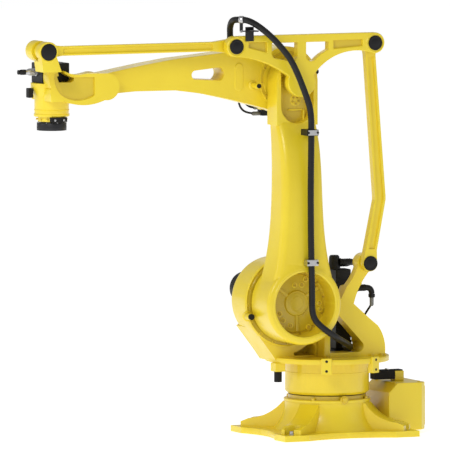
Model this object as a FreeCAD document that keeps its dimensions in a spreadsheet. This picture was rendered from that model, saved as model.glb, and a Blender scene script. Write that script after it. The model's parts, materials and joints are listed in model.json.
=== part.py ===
"""Four-axis palletising robot arm with parallel-link levelling, as a parametric document.

Frame: X runs forward from the turning axis, Y to the robot's left, Z up from the floor.
The stored pose has the lower arm upright and the forearm level.
"""
import FreeCAD
import Part
import Sketcher
import math
import os

Vector = FreeCAD.Vector

SIZES = {
    # pivots, from which every casting is laid out
    "shoulder_x": 231, "shoulder_z": 625, "arm_length": 1020, "forearm_length": 935,
    "crank_back": 369, "crank_rise": 172, "fork_ahead": 329, "flange_ahead": 216.5,
    # floor casting and its box
    "foot_front": 350, "foot_rear": -330, "foot_side": 305, "foot_width": 120, "foot_thick": 28,
    "bolt_span_x": 550, "bolt_span_y": 500, "bolt_centre_x": 10, "floor_hole": 11,
    "base_top_z": 170, "base_top_radius": 198, "base_skirt": 285, "web_thick": 96,
    "box_front": -251, "box_back": -445, "box_half": 140, "box_low_z": 15, "box_high_z": 235,
    # turning carriage
    "seal_radius": 180, "seal_high_z": 188, "drum_low_z": 193, "drum_radius": 194,
    "table_low_z": 343, "table_high_z": 366, "table_radius": 286,
    "housing_face_y": 57, "housing_back_y": -160, "housing_radius": 208,
    "bracket_low_y": 90, "bracket_high_y": 135,
    "motor_x": -100, "motor_y": -71, "motor_half": 38, "turn_motor_top": 820,
    # lower arm
    "arm_back_y": 68, "arm_front_y": 265, "knuckle_radius": 186, "opening_radius": 150,
    "arm_width": 205, "arm_top_front_y": 176, "cup_radius": 82, "cup_floor_y": 126,
    # levelling linkage
    "link_low_y": 142, "link_high_y": 178, "plate_low_y": 184, "plate_high_y": 228,
    "pin_radius": 22, "bore_gap": 0.6, "link_end": 37, "plate_end": 48, "cap_radius": 34,
    # forearm and wrist
    "forearm_half": 60, "elbow_radius": 155, "hub_radius": 68, "wrist_pin_radius": 26,
    "wrist_low_z": 1508, "wrist_high_z": 1662, "wrist_radius": 79, "flange_radius": 68,
    "flange_low_z": 1445, "flange_high_z": 1480, "pilot_radius": 31.5, "tool_circle": 50,
    # hose and cables
    "hose_radius": 15, "hose_y": 287, "cable_radius": 5,
}


class Size:
    """A length that carries its value and the sheet expression that gives it."""

    def __init__(self, value, text):
        self.value = float(value)
        self.text = text

    def __add__(self, other):
        other = as_size(other)
        return Size(self.value + other.value, f"({self.text} + {other.text})")

    def __sub__(self, other):
        other = as_size(other)
        return Size(self.value - other.value, f"({self.text} - {other.text})")

    def __mul__(self, factor):
        factor = as_size(factor)
        return Size(self.value * factor.value, f"({self.text} * {factor.text})")

    def __neg__(self):
        return self * -1

    def __rsub__(self, other):
        return as_size(other) - self

    __radd__ = __add__
    __rmul__ = __mul__


def as_size(number):
    return number if isinstance(number, Size) else Size(number, f"({float(number)})")


class Namespace:
    """Holds one Size for each alias of the sheet."""


def make_sheet(doc):
    """The spreadsheet of driving dimensions, and a Size for each of its aliases."""
    sheet = doc.addObject("Spreadsheet::Sheet", "Sizes")
    names = Namespace()
    for row, (alias, number) in enumerate(SIZES.items(), start=1):
        sheet.set(f"A{row}", alias)
        sheet.set(f"B{row}", str(number))
        sheet.setAlias(f"B{row}", alias)
        setattr(names, alias, Size(number, f"Sizes.{alias}"))
    return names


doc = FreeCAD.newDocument("RobotArm")
d = make_sheet(doc)
doc.recompute()

# Pivot places, (x, z)
SHOULDER = (d.shoulder_x, d.shoulder_z)
ELBOW = (d.shoulder_x, d.shoulder_z + d.arm_length)
REAR_LOW = (SHOULDER[0] - d.crank_back, SHOULDER[1] + d.crank_rise)
REAR_HIGH = (ELBOW[0] - d.crank_back, ELBOW[1] + d.crank_rise)
FRONT_HIGH = (ELBOW[0] + d.fork_ahead, ELBOW[1] + d.crank_rise)
WRIST = (ELBOW[0] + d.forearm_length, ELBOW[1])
WRIST_HIGH = (WRIST[0] + d.fork_ahead, WRIST[1] + d.crank_rise)
FLANGE_X = WRIST[0] + d.flange_ahead


# ---------------------------------------------------------------- feature helpers

def bind(thing, prop, size):
    thing.setExpression(prop, as_size(size).text)


def near(place, ahead, up):
    """A point a given way ahead of and above a pivot."""
    return (place[0] + ahead, place[1] + up)


def around(place, radius, angle):
    """A point on a circle about a pivot; 0 degrees is ahead and 90 is up."""
    ahead = as_size(radius) * math.cos(math.radians(angle))
    up = as_size(radius) * math.sin(math.radians(angle))
    return (place[0] + ahead, place[1] + up)


def arc(via, end):
    """An outline step that curves to end by way of via."""
    return ("arc", via, end)


def circle(centre, radius):
    return ("circle", centre, as_size(radius))


def box_loop(low, high):
    """A rectangle between two opposite corners."""
    return [low, (high[0], low[1]), high, (low[0], high[1])]


def capsule(start, end, radius):
    """A slot outline round two centres on one level line."""
    return [near(start, 0, -radius), near(end, 0, -radius),
            arc(near(end, radius, 0), near(end, 0, radius)),
            near(start, 0, radius), arc(near(start, -radius, 0), near(start, 0, -radius))]


def pin_point(sketch, geometry, position, place):
    """Fix a sketch point at a place bound to the sheet."""
    for kind, size in (("DistanceX", place[0]), ("DistanceY", place[1])):
        size = as_size(size)
        rule = Sketcher.Constraint(kind, -1, 1, geometry, position, size.value)
        sketch.setExpression(f"Constraints[{sketch.addConstraint(rule)}]", size.text)


def flat(place):
    return Vector(as_size(place[0]).value, as_size(place[1]).value, 0)


def draw_circle(sketch, loop):
    _, centre, radius = loop
    shape = Part.Circle(flat(centre), Vector(0, 0, 1), radius.value)
    index = sketch.addGeometry(shape, False)
    pin_point(sketch, index, 3, centre)
    rule = sketch.addConstraint(Sketcher.Constraint("Radius", index, radius.value))
    sketch.setExpression(f"Constraints[{rule}]", radius.text)


def draw_loop(sketch, loop):
    """Draw a closed outline of straight and curved steps, every corner bound to the sheet."""
    if loop[0] == "circle":
        draw_circle(sketch, loop)
        return
    steps = list(loop)
    start, end = steps[0], steps[-1][2] if steps[-1][0] == "arc" else steps[-1]
    if flat(start).distanceToPoint(flat(end)) > 1e-6:
        steps.append(start)
    first = sketch.GeometryCount
    for step in steps[1:]:
        if step[0] == "arc":
            _, via, end = step
            curve = Part.Arc(flat(start), flat(via), flat(end))
            index = sketch.addGeometry(curve, False)
            mark = sketch.addGeometry(Part.Point(flat(via)), True)
            pin_point(sketch, mark, 1, via)
            sketch.addConstraint(Sketcher.Constraint("PointOnObject", mark, 1, index))
            turns_left = (flat(via) - flat(start)).cross(flat(end) - flat(via)).z > 0
            head, tail = (1, 2) if turns_left else (2, 1)
        else:
            end = step
            index = sketch.addGeometry(Part.LineSegment(flat(start), flat(end)), False)
            head, tail = 1, 2
        if start is steps[0]:
            first, first_head = index, head
            pin_point(sketch, index, head, start)
        else:
            sketch.addConstraint(Sketcher.Constraint("Coincident", index, head, last, last_tail))
        if step is not steps[-1]:
            pin_point(sketch, index, tail, end)
        last, last_tail, start = index, tail, end
    sketch.addConstraint(Sketcher.Constraint("Coincident", last, last_tail, first, first_head))


def new_body(name):
    body = doc.addObject("PartDesign::Body", name)
    body.Label = name
    return body


def add_sketch(body, plane, level, loops):
    """A sketch on one of the body's own planes, moved along that plane's axis to a level."""
    sketch = body.newObject("Sketcher::SketchObject", f"{body.Label}_outline")
    support = [item for item in body.Origin.OriginFeatures if item.Role == f"{plane}_Plane"]
    sketch.AttachmentSupport = [(support[0], "")]
    sketch.MapMode = "FlatFace"
    bind(sketch, "AttachmentOffset.Base.z", -as_size(level) if plane == "XZ" else level)
    for loop in loops:
        draw_loop(sketch, loop)
    return sketch


def add_extrusion(body, kind, plane, low, high, loops):
    """Add or cut the outlines between two levels along the plane's axis."""
    sketch = add_sketch(body, plane, high if plane == "XZ" else low, loops)
    feature = body.newObject(f"PartDesign::{kind}", f"{body.Label}_{kind.lower()}")
    feature.Profile = sketch
    bind(feature, "Length", as_size(high) - low)
    feature.Reversed = kind == "Pocket"
    body.Tip = feature
    return feature


def pad(body, plane, low, high, *loops):
    return add_extrusion(body, "Pad", plane, low, high, loops)


def pocket(body, plane, low, high, *loops):
    """Cut the outlines out of the body, which must lose volume by it."""
    doc.recompute()
    before = body.Shape.Volume
    feature = add_extrusion(body, "Pocket", plane, low, high, loops)
    doc.recompute()
    if body.Shape.Volume > before - 1:
        raise ValueError(f"a pocket of {body.Label} cuts nothing")
    return feature


def spin(body, axis, place, profile):
    """Turn a profile about an upright or a crosswise axis.

    For axis Z the profile is (radius, z) about (x, y); for axis Y it is (y, radius) about (x, z).
    """
    upright = axis == "Z"
    sketch = add_sketch(body, "XZ" if upright else "YZ", place[1] if upright else place[0], [profile])
    bind(sketch, "AttachmentOffset.Base.x" if upright else "AttachmentOffset.Base.y",
         place[0] if upright else place[1])
    feature = body.newObject("PartDesign::Revolution", f"{body.Label}_turned")
    feature.Profile = sketch
    feature.ReferenceAxis = (sketch, ["V_Axis" if upright else "H_Axis"])
    feature.Angle = 360
    body.Tip = feature
    return feature


def disc(body, place, low, high, radius):
    """A plain cylinder along Y about a pivot."""
    return pad(body, "XZ", low, high, circle(place, radius))


def plate(name, plane, low, high, *loops):
    body = new_body(name)
    pad(body, plane, low, high, *loops)
    return body


# ---------------------------------------------------------------- floor casting and box

def floor_bolts():
    """The four bolt places, (x, y)."""
    return [(d.bolt_centre_x + d.bolt_span_x * side_x, d.bolt_span_y * side_y)
            for side_x in (-0.5, 0.5) for side_y in (-0.5, 0.5)]


def make_base():
    body = new_body("base_casting")
    front, rear, side, width = d.foot_front, d.foot_rear, d.foot_side, d.foot_width
    pad(body, "XY", 0, d.foot_thick, [
        (front, -side), (front, width - side), arc((front - 42, 0), (front, side - width)),
        (front, side), (front - width, side), arc((d.bolt_centre_x, side - 52), (rear + width, side)),
        (rear, side), (rear, -side), (rear + width, -side),
        arc((d.bolt_centre_x, 52 - side), (front - width, -side))])
    skirt, top = d.base_skirt, d.base_top_radius
    spin(body, "Z", (0, 0), [
        (0, 0), (skirt - 40, 0), (skirt - 40, d.foot_thick),
        arc((top + 8, d.base_top_z * 0.55), (top, d.base_top_z)), (0, d.base_top_z)])
    for foot_x in (front.value, rear.value):
        for foot_y in (-side.value, side.value):
            add_foot_web(body, (foot_x, foot_y))
    for place in floor_bolts():
        slot = capsule(near(place, -16, 0), near(place, 16, 0), 25)
        pocket(body, "XY", d.foot_thick, d.base_top_z, slot)
    holes = [circle(place, d.floor_hole) for place in floor_bolts()]
    pocket(body, "XY", -1, d.foot_thick + 1, *holes)
    pocket(body, "XY", d.box_low_z - 3, d.base_top_z,
           box_loop((rear - 1, -d.box_half - 2), (d.box_front + 1, d.box_half + 2)))


def add_foot_web(body, corner):
    """A sloping web from the round top down to the foot at one corner."""
    reach = math.hypot(corner[0], corner[1]) - 62
    sketch = add_sketch(body, "XZ", 0, [[
        (70, 0), (reach, 0), (reach, 52), (reach - 34, 66), arc((reach - 110, 84), (198, 152)), (70, 152)]])
    heading = math.degrees(math.atan2(corner[1], corner[0]))
    sketch.AttachmentOffset = FreeCAD.Placement(Vector(), FreeCAD.Rotation(Vector(0, 1, 0), heading))
    web = body.newObject("PartDesign::Pad", "base_web")
    web.Profile = sketch
    web.SideType = "Symmetric"
    bind(web, "Length", d.web_thick)
    body.Tip = web


def make_box():
    back, front, half = d.box_back, d.box_front, d.box_half
    cut = 28
    body = plate("junction_box", "XY", d.box_low_z, d.box_high_z, [
        (back, cut - half), (back + cut, -half), (front, -half), (front, half),
        (back + cut, half), (back, half - cut)])
    pocket(body, "XZ", -half - 1, half + 1, [
        (front + 1, d.base_top_z + 20), (front + 1, d.box_high_z + 1), (front - 44, d.box_high_z + 1)])
    plate("box_panel", "YZ", back - 4, back, box_loop((28 - half + 4, 34), (half - 32, 216)))
    power = plate("power_connector", "YZ", back - 18, back - 4, box_loop((-70, 52), (0, 112)))
    pad(power, "YZ", back - 24, back - 18, box_loop((-64, 58), (-6, 106)))
    signal = plate("signal_connector", "YZ", back - 14, back - 4, box_loop((-60, 152), (50, 206)))
    pad(signal, "YZ", back - 20, back - 14, box_loop((-54, 158), (44, 200)))


def make_turn_stop():
    """A post on the box, and the black block that the carriage's buffer meets."""
    top = d.box_high_z
    plate("stop_post", "XY", top, top + 46, box_loop((-380, -26), (-334, 26)))
    block = plate("stop_block", "XY", top + 9, top + 46, box_loop((-333, -30), (-232, 30)))
    pad(block, "XY", top + 46, top + 52, box_loop((-376, -22), (-250, 22)))


def make_seal():
    body = new_body("bearing_seal")
    spin(body, "Z", (0, 0), [(0, d.base_top_z), (d.seal_radius, d.base_top_z),
                             (d.seal_radius, d.seal_high_z), (0, d.seal_high_z)])


# ---------------------------------------------------------------- turning carriage

def make_carriage():
    """Drum, round table, pedestal and the round shoulder housing, cast in one."""
    body = new_body("carriage_casting")
    drum, table, low = d.drum_radius, d.table_radius, d.drum_low_z
    spin(body, "Z", (0, 0), [
        (0, low), (drum - 12, low), (drum, low + 12), (drum, d.table_low_z),
        (table, d.table_low_z), (table, d.table_high_z), (0, d.table_high_z)])
    back, face = d.housing_back_y, d.housing_face_y
    wide, foot_z = d.housing_radius, d.table_low_z + 5
    pad(body, "XZ", back + 20, face - 6, [
        (8, foot_z), (278, foot_z), (300, d.table_high_z + 14), around(SHOULDER, wide - 4, -36),
        SHOULDER, (24, d.shoulder_z - 50)])
    pocket(body, "XZ", -60, face, [
        (86, d.table_high_z + 6), (184, d.table_high_z + 6), arc((191, 380), (178, 389)), (114, 424),
        arc((90, 420), (84, 396))])
    spin(body, "Y", SHOULDER, [
        (back, 0), (back, wide - 60), arc((back + 16, wide - 26), (back + 56, wide - 8)),
        (face - 5, wide), (face, wide - 5), (face, 0)])


def make_shoulder_ring():
    body = new_body("shoulder_ring")
    low, high = d.housing_face_y, d.housing_face_y + 3
    spin(body, "Y", SHOULDER, [(low, 150), (low, 192), (high, 189), (high, 150)])


def make_motors():
    half, table, centre = d.motor_half, d.table_high_z, (d.motor_x, d.motor_y)
    foot = half + 18
    motor = plate("turn_motor", "XY", table, table + 18,
                  box_loop(near(centre, -foot, -foot), near(centre, foot, foot)))
    step_z = d.turn_motor_top - 64
    pad(motor, "XY", table + 18, step_z,
        box_loop(near(centre, -half, -half), near(centre, half, half)))
    pad(motor, "XY", step_z, d.turn_motor_top, box_loop(near(centre, 12, -28), near(centre, 50, 28)))
    plate("turn_motor_plug", "XY", d.turn_motor_top - 54, d.turn_motor_top - 16,
          box_loop(near(centre, -74, -19), near(centre, 12, 19)))
    back = d.housing_back_y
    shoulder = plate("shoulder_motor", "XZ", back - 22, back, circle(SHOULDER, 120))
    centre, radius = near(SHOULDER, 10, 30), 76
    pad(shoulder, "XZ", back - 242, back - 22, circle(centre, radius))
    plate("shoulder_motor_plug", "XZ", back - 150, back - 100,
          box_loop(near(centre, -140, -24), near(centre, -radius - 0.3, 24)))


def make_link_bracket():
    """The boomerang wall that carries the rear link's lower pivot, with its cable window."""
    low, high, table = d.bracket_low_y, d.bracket_high_y, d.table_high_z
    body = new_body("link_bracket")
    boss = 44
    back_edge = [(-232, table), arc((-226, 448), (-196, 506)), (-150, 543), (-74, 610)]
    pad(body, "XZ", d.housing_face_y, high, back_edge + [
        arc((-92, 668), (-116, 704)), (-40, 690), arc((-22, 655), (2, 622)), (34, 590), (40, 540),
        (74, 470), (74, table)])
    pad(body, "XZ", low, high, [
        (-74, 610), arc((-92, 664), around(REAR_LOW, boss, -104)), arc(around(REAR_LOW, boss, 180),
        around(REAR_LOW, boss, 90)), arc(around(REAR_LOW, boss, 45), around(REAR_LOW, boss, -14)),
        arc((-72, 734), (-38, 690)), (-6, 626)])
    pad(body, "XZ", 10, d.housing_face_y, back_edge + [
        (-8, 618), (2, 580), (-118, 446), (-118, table)])
    disc(body, REAR_LOW, low - 14, d.link_low_y - 6, boss)
    pocket(body, "XZ", 9, high + 1, [
        (-96, 386), (46, 386), (46, 496), (24, 556), arc((14, 568), (2, 558)), (-112, 436),
        arc((-121, 402), (-96, 386))])
    pocket(body, "XZ", low - 20, high + 20, circle(REAR_LOW, d.pin_radius + d.bore_gap))
    plate("bracket_plug", "XZ", 46, 78, [
        near(REAR_LOW, 20, -137), near(REAR_LOW, 20, -105), near(REAR_LOW, -76, -105),
        near(REAR_LOW, -76, -169), near(REAR_LOW, -44, -169), near(REAR_LOW, -44, -137)])


def make_carriage_stops():
    plate("turn_buffer_block", "XY", d.table_low_z - 40, d.table_low_z, box_loop((246, 22), (296, 78)))
    plate("turn_buffer", "XY", 254, d.table_low_z - 40, circle((271, 50), 18))
    face = d.housing_face_y
    stop = near(SHOULDER, 199, -61)
    plate("shoulder_stop", "XZ", face, face + 42, circle(stop, 15))
    plate("shoulder_stop_tip", "XZ", face + 42, face + 55, circle(stop, 14))


# ---------------------------------------------------------------- lower arm

def make_lower_arm():
    body = new_body("lower_arm")
    back, front, knuckle = d.arm_back_y, d.arm_front_y, d.knuckle_radius
    spin(body, "Y", SHOULDER, [
        (back, 0), (back, knuckle - 8), (back + 10, knuckle), (front - 22, knuckle),
        arc((front - 6, knuckle - 6), (front, knuckle - 20)), (front, 0)])
    add_arm_tube(body)
    top, floor = d.arm_top_front_y, d.cup_floor_y
    half = d.arm_width * 0.5
    pad(body, "XZ", back, top, [
        near(ELBOW, -half, -200), near(ELBOW, half, -200), near(ELBOW, half, 0),
        arc(near(ELBOW, 0, half), near(ELBOW, -half, 0))])
    cup = d.cup_radius
    pocket(body, "XZ", floor, front + 1, [
        near(ELBOW, -cup, -110), arc(near(ELBOW, 0, -110 - cup), near(ELBOW, cup, -110)),
        near(ELBOW, cup, half + 60), near(ELBOW, -cup, half + 60)])
    pocket(body, "XZ", 150, front + 1, circle(SHOULDER, d.opening_radius))
    pocket(body, "XZ", back - 1, back + 26, box_loop(near(ELBOW, -130, -176), near(ELBOW, -74, -60)))


def rounded_box(half, low_y, high_y):
    """A level section of the lower arm, with rounded corners."""
    left, right = d.shoulder_x - half, d.shoulder_x + half
    low_y, high_y = as_size(low_y), as_size(high_y)
    cut, bulge = 34, 10
    return [
        (left, low_y + cut), arc((left + bulge, low_y + bulge), (left + cut, low_y)),
        (right - cut, low_y), arc((right - bulge, low_y + bulge), (right, low_y + cut)),
        (right, high_y - cut), arc((right - bulge, high_y - bulge), (right - cut, high_y)),
        (left + cut, high_y), arc((left + bulge, high_y - bulge), (left, high_y - cut))]


def add_arm_tube(body):
    """The tapering tube between the two knuckles, as a loft of rounded sections."""
    foot, top = d.shoulder_z + 60, ELBOW[1] - 185
    stations = ((foot, 168, d.arm_back_y, d.arm_front_y - 6), (foot + 210, 118, 82, 260),
                (foot + 480, 102, 88, 252), (top - 110, 100, 80, 226),
                (top, 101, d.arm_back_y, d.arm_top_front_y))
    feature = body.newObject("PartDesign::AdditiveLoft", "lower_arm_tube")
    sections = [add_sketch(body, "XY", level, [rounded_box(half, low, high)])
                for level, half, low, high in stations]
    feature.Profile = sections[0]
    feature.Sections = sections[1:]
    body.Tip = feature


def make_shoulder_cover():
    body = new_body("shoulder_cover")
    spin(body, "Y", SHOULDER, [(150, 0), (150, 138), (160, 134), (164, 60), (172, 56), (172, 0)])


def make_hose_clamps():
    """Two saddles that hold the hose off the lower arm."""
    hose = (d.shoulder_x - 20, d.hose_y)
    for name, level, foot_y in (("hose_clamp_low", 806, 266), ("hose_clamp_high", 1404, 232)):
        body = plate(name, "XY", level, level + 28,
                     box_loop((hose[0] - 28, foot_y), (hose[0] + 28, d.hose_y + 18)))
        pocket(body, "XY", level - 1, level + 29, circle(hose, d.hose_radius + 2))


# ---------------------------------------------------------------- levelling linkage

def make_rear_link():
    low, high, end, half = d.link_low_y, d.link_high_y, d.link_end, 27
    bend = (REAR_LOW[0] - 50, REAR_LOW[1] + 300)
    body = new_body("rear_link")
    pad(body, "XZ", low, high, [
        around(REAR_LOW, end, 200), arc(around(REAR_LOW, end, -80), around(REAR_LOW, end, 0)),
        near(REAR_LOW, half - 2, 60), near(bend, half, -8), near(bend, half, 8),
        near(REAR_HIGH, half - 2, -60),
        around(REAR_HIGH, end, 0), arc(around(REAR_HIGH, end, 90), around(REAR_HIGH, end, 180)),
        near(REAR_HIGH, 2 - half, -60), near(bend, -half, 8), near(bend, -half, -8),
        near(REAR_LOW, -half - 6, 60)])
    pocket(body, "XZ", high - 10, high + 1, [
        near(REAR_LOW, -22, 66), near(REAR_LOW, 6, 66), near(bend, 16, 0),
        near(REAR_HIGH, 14, -66), near(REAR_HIGH, -14, -66), near(bend, -16, 0)])
    for place in (REAR_LOW, REAR_HIGH):
        pocket(body, "XZ", low - 1, high + 1, circle(place, d.pin_radius + d.bore_gap))


def make_triangle():
    """The link plate that rides on the elbow shaft and keeps the tool level."""
    low, high, end, hub = d.plate_low_y, d.plate_high_y, d.plate_end, d.hub_radius
    body = new_body("triangle_link")
    pad(body, "XZ", low, high, [
        around(REAR_HIGH, end, 90), arc(around(REAR_HIGH, end, 180), around(REAR_HIGH, end, -84)),
        arc(near(ELBOW, -150, 108), around(ELBOW, hub, 152)),
        arc(around(ELBOW, hub, -90), around(ELBOW, hub, 24)),
        arc(near(ELBOW, 160, 84), around(FRONT_HIGH, end, -76)),
        arc(around(FRONT_HIGH, end, 0), around(FRONT_HIGH, end, 90))])
    pocket(body, "XZ", low - 1, high + 1,
           [near(ELBOW, 22, 118), arc(near(ELBOW, 34, 104), near(ELBOW, 56, 98)), near(ELBOW, 132, 114),
            arc(near(ELBOW, 146, 122), near(ELBOW, 150, 138)), near(ELBOW, 150, 184), near(ELBOW, 22, 184)],
           [near(ELBOW, -22, 118), near(ELBOW, -22, 184), near(ELBOW, -134, 184), near(ELBOW, -134, 148),
            arc(near(ELBOW, -100, 130), near(ELBOW, -64, 100)),
            arc(near(ELBOW, -36, 100), near(ELBOW, -22, 118))])
    pocket(body, "XZ", high - 14, high + 1,
           [near(ELBOW, 176, 142), near(ELBOW, 266, 166), near(ELBOW, 266, 192), near(ELBOW, 176, 190)],
           [near(ELBOW, -160, 150), near(ELBOW, -160, 190), near(ELBOW, -306, 190), near(ELBOW, -306, 160)])
    disc(body, ELBOW, d.cup_floor_y + 6, low, hub - 14)


def make_capped_pin(name, place):
    """A pivot pin behind a link plate, and the round cap on the plate's face."""
    plate(name, "XZ", d.link_low_y - 2, d.plate_low_y, circle(place, d.pin_radius))
    plate(name + "_cap", "XZ", d.plate_high_y, d.plate_high_y + 5, circle(place, d.cap_radius))


def make_link_pins():
    make_capped_pin("rear_pin", REAR_HIGH)
    make_capped_pin("front_pin", FRONT_HIGH)
    body = plate("bracket_pin", "XZ", d.bracket_low_y - 14, d.link_high_y + 1,
                 circle(REAR_LOW, d.pin_radius))
    disc(body, REAR_LOW, d.link_high_y + 1, d.link_high_y + 5, d.cap_radius)


def make_hose_bracket():
    reach = d.plate_high_y
    body = plate("hose_bracket", "XZ", reach, reach + 8,
                 box_loop(near(ELBOW, 246, 196), near(ELBOW, 286, 262)))
    pad(body, "XZ", reach + 8, d.hose_y + 4, box_loop(near(ELBOW, 246, 242), near(ELBOW, 286, 248)))


def make_top_link():
    low, high, end, half = d.link_low_y, d.link_high_y, d.link_end, 22
    body = new_body("top_link")
    pad(body, "XZ", low, high, [
        around(FRONT_HIGH, end, -60), near(FRONT_HIGH, 90, -half), near(WRIST_HIGH, -90, -half),
        around(WRIST_HIGH, end, -120), arc(around(WRIST_HIGH, end, 0), around(WRIST_HIGH, end, 120)),
        near(WRIST_HIGH, -90, half), near(FRONT_HIGH, 90, half), around(FRONT_HIGH, end, 60),
        arc(around(FRONT_HIGH, end, 180), around(FRONT_HIGH, end, -60))])
    pocket(body, "XZ", high - 10, high + 1, box_loop(near(FRONT_HIGH, 96, -12), near(WRIST_HIGH, -96, 12)))
    for place in (FRONT_HIGH, WRIST_HIGH):
        pocket(body, "XZ", low - 1, high + 1, circle(place, d.pin_radius + d.bore_gap))


# ---------------------------------------------------------------- forearm

def make_forearm():
    half, round_end = d.forearm_half, d.elbow_radius
    body = new_body("forearm")
    pad(body, "XZ", -half, half, [
        around(ELBOW, round_end, 62), arc(around(ELBOW, round_end, 180), around(ELBOW, round_end, -64)),
        arc(near(ELBOW, 250, -90), near(ELBOW, 430, -50)), near(ELBOW, 560, -32), near(ELBOW, 760, -31),
        near(WRIST, -68, -38), arc(near(WRIST, 44, 0), near(WRIST, 40, 44)), near(WRIST, -52, 60),
        near(ELBOW, 723, 88), near(ELBOW, 579, 110), near(ELBOW, 362, 130),
        arc(near(ELBOW, 200, 140), around(ELBOW, round_end, 62))])
    slot = [near(ELBOW, 334, 8), near(ELBOW, 462, 16), arc(near(ELBOW, 478, 36), near(ELBOW, 462, 56)),
            near(ELBOW, 334, 68), arc(near(ELBOW, 316, 38), near(ELBOW, 334, 8))]
    pocket(body, "XZ", -half - 1, half + 1, slot)
    pad(body, "XZ", half, half + 4, [
        near(ELBOW, 222, -24), arc(near(ELBOW, 242, -42), near(ELBOW, 262, -24)), near(ELBOW, 262, 66),
        arc(near(ELBOW, 242, 84), near(ELBOW, 222, 66))])
    pocket(body, "XZ", -half - 1, half + 1, circle(WRIST, d.wrist_pin_radius + d.bore_gap))
    disc(body, near(ELBOW, 173, -18), half, half + 70, 13)


def make_elbow_parts():
    half = d.forearm_half
    plate("elbow_ring", "XZ", half, half + 2, circle(ELBOW, 126))
    house = new_body("elbow_gearbox")
    spin(house, "Y", ELBOW, [
        (-half - 110, 0), (-half - 110, 108), (-half - 90, 134), (-half, 140), (-half, 0)])
    motor = plate("elbow_motor", "XZ", -half - 128, -half - 110, circle(ELBOW, 100))
    wide = 78
    pad(motor, "XZ", -half - 330, -half - 128,
        box_loop(near(ELBOW, -wide, -wide), near(ELBOW, wide, wide)))
    plate("elbow_motor_plug", "XZ", -half - 290, -half - 235,
          box_loop(near(ELBOW, -94, -188), near(ELBOW, -36, -wide)))
    plate("elbow_stop_tip", "XZ", half, half + 24, circle(near(ELBOW, -137, 37), 14))


# ---------------------------------------------------------------- wrist and flange

def make_wrist():
    """The crank that hangs the tool's turning unit from the forearm and the top link."""
    body = new_body("wrist_casting")
    low, high, ear = 90, 136, d.plate_low_y
    pad(body, "XZ", -90, high, [
        near((FLANGE_X, 0), -92, 1583), (FLANGE_X + 60, 1583), (FLANGE_X + 66, 1640), (FLANGE_X - 92, 1662)])
    pad(body, "XZ", 66, high, [
        around(WRIST, 62, 100), arc(around(WRIST, 62, 180), around(WRIST, 62, -80)),
        arc((FLANGE_X - 60, 1568), (FLANGE_X + 26, 1600)), arc((FLANGE_X + 66, 1660), (FLANGE_X + 62, 1740)),
        around(WRIST_HIGH, 46, -60), arc(around(WRIST_HIGH, 46, 40), around(WRIST_HIGH, 46, 150)),
        arc(near(WRIST_HIGH, -120, -96), near(WRIST_HIGH, -230, -108))])
    pad(body, "XZ", high, d.plate_high_y, [
        around(WRIST_HIGH, 46, -150), arc(around(WRIST_HIGH, 46, 90), around(WRIST_HIGH, 46, -40)),
        near(WRIST_HIGH, 26, -92), near(WRIST_HIGH, -64, -92)])
    pocket(body, "XZ", high, ear, circle(WRIST_HIGH, 56),
           box_loop(near(WRIST_HIGH, -120, -50), near(WRIST_HIGH, 0, 60)))
    pocket(body, "XZ", 64, high + 1, [
        (FLANGE_X + 8, 1752), arc((FLANGE_X - 10, 1716), (FLANGE_X - 60, 1690)),
        arc((FLANGE_X - 56, 1676), (FLANGE_X - 40, 1668)), (FLANGE_X + 20, 1668), (FLANGE_X + 30, 1700)])
    pocket(body, "XZ", high - 9, high + 1, [
        (FLANGE_X - 155, 1690), (FLANGE_X - 155, 1608), arc((FLANGE_X - 64, 1586), (FLANGE_X + 10, 1612)),
        arc((FLANGE_X + 42, 1662), (FLANGE_X + 43, 1714)), (FLANGE_X + 12, 1734),
        arc((FLANGE_X - 24, 1708), (FLANGE_X - 100, 1692))])
    disc(body, WRIST, -90, -66, 58)
    pad(body, "XZ", -90, -66, [
        around(WRIST, 58, 80), around(WRIST, 58, -80), (FLANGE_X - 40, 1583), (FLANGE_X - 40, 1658)])
    radius = d.wrist_radius
    spin(body, "Z", (FLANGE_X, 0), [
        (0, d.wrist_low_z), (radius, d.wrist_low_z), (radius, 1600), (96, 1640),
        (96, d.wrist_high_z), (0, d.wrist_high_z)])
    spin(body, "Z", (FLANGE_X, 0), [
        (0, d.flange_high_z + 6), (64, d.flange_high_z + 6), (64, d.wrist_low_z), (0, d.wrist_low_z)])


def make_wrist_parts():
    plate("wrist_pin", "XZ", -66, 66, circle(WRIST, d.wrist_pin_radius))
    make_capped_pin("wrist_high_pin", WRIST_HIGH)
    top = d.wrist_high_z
    plate("wrist_motor", "XY", top, top + 92, box_loop((FLANGE_X - 62, -62), (FLANGE_X + 74, 62)))
    plate("wrist_connector", "XY", top + 52, top + 82, box_loop((FLANGE_X + 74, -20), (FLANGE_X + 168, 16)))
    plate("wrist_signal_plug", "XY", 1596, 1640, box_loop((FLANGE_X + 97, -16), (FLANGE_X + 121, 16)))
    plate("wrist_stop_block", "XY", d.flange_high_z + 6, d.wrist_low_z,
          box_loop((FLANGE_X - 40, 64.3), (FLANGE_X + 38, 88)))


def make_flange():
    """The turning tool flange with its pilot recess and six tapped holes."""
    body = plate("tool_flange", "XY", d.flange_low_z, d.flange_high_z,
                 circle((FLANGE_X, 0), d.flange_radius))
    pocket(body, "XY", d.flange_low_z - 1, d.flange_low_z + 8, circle((FLANGE_X, 0), d.pilot_radius))
    holes = [circle(around((FLANGE_X, 0), d.tool_circle, 60 * turn), 5) for turn in range(6)]
    pocket(body, "XY", d.flange_low_z - 1, d.flange_low_z + 20, *holes)


# ---------------------------------------------------------------- hose

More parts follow.
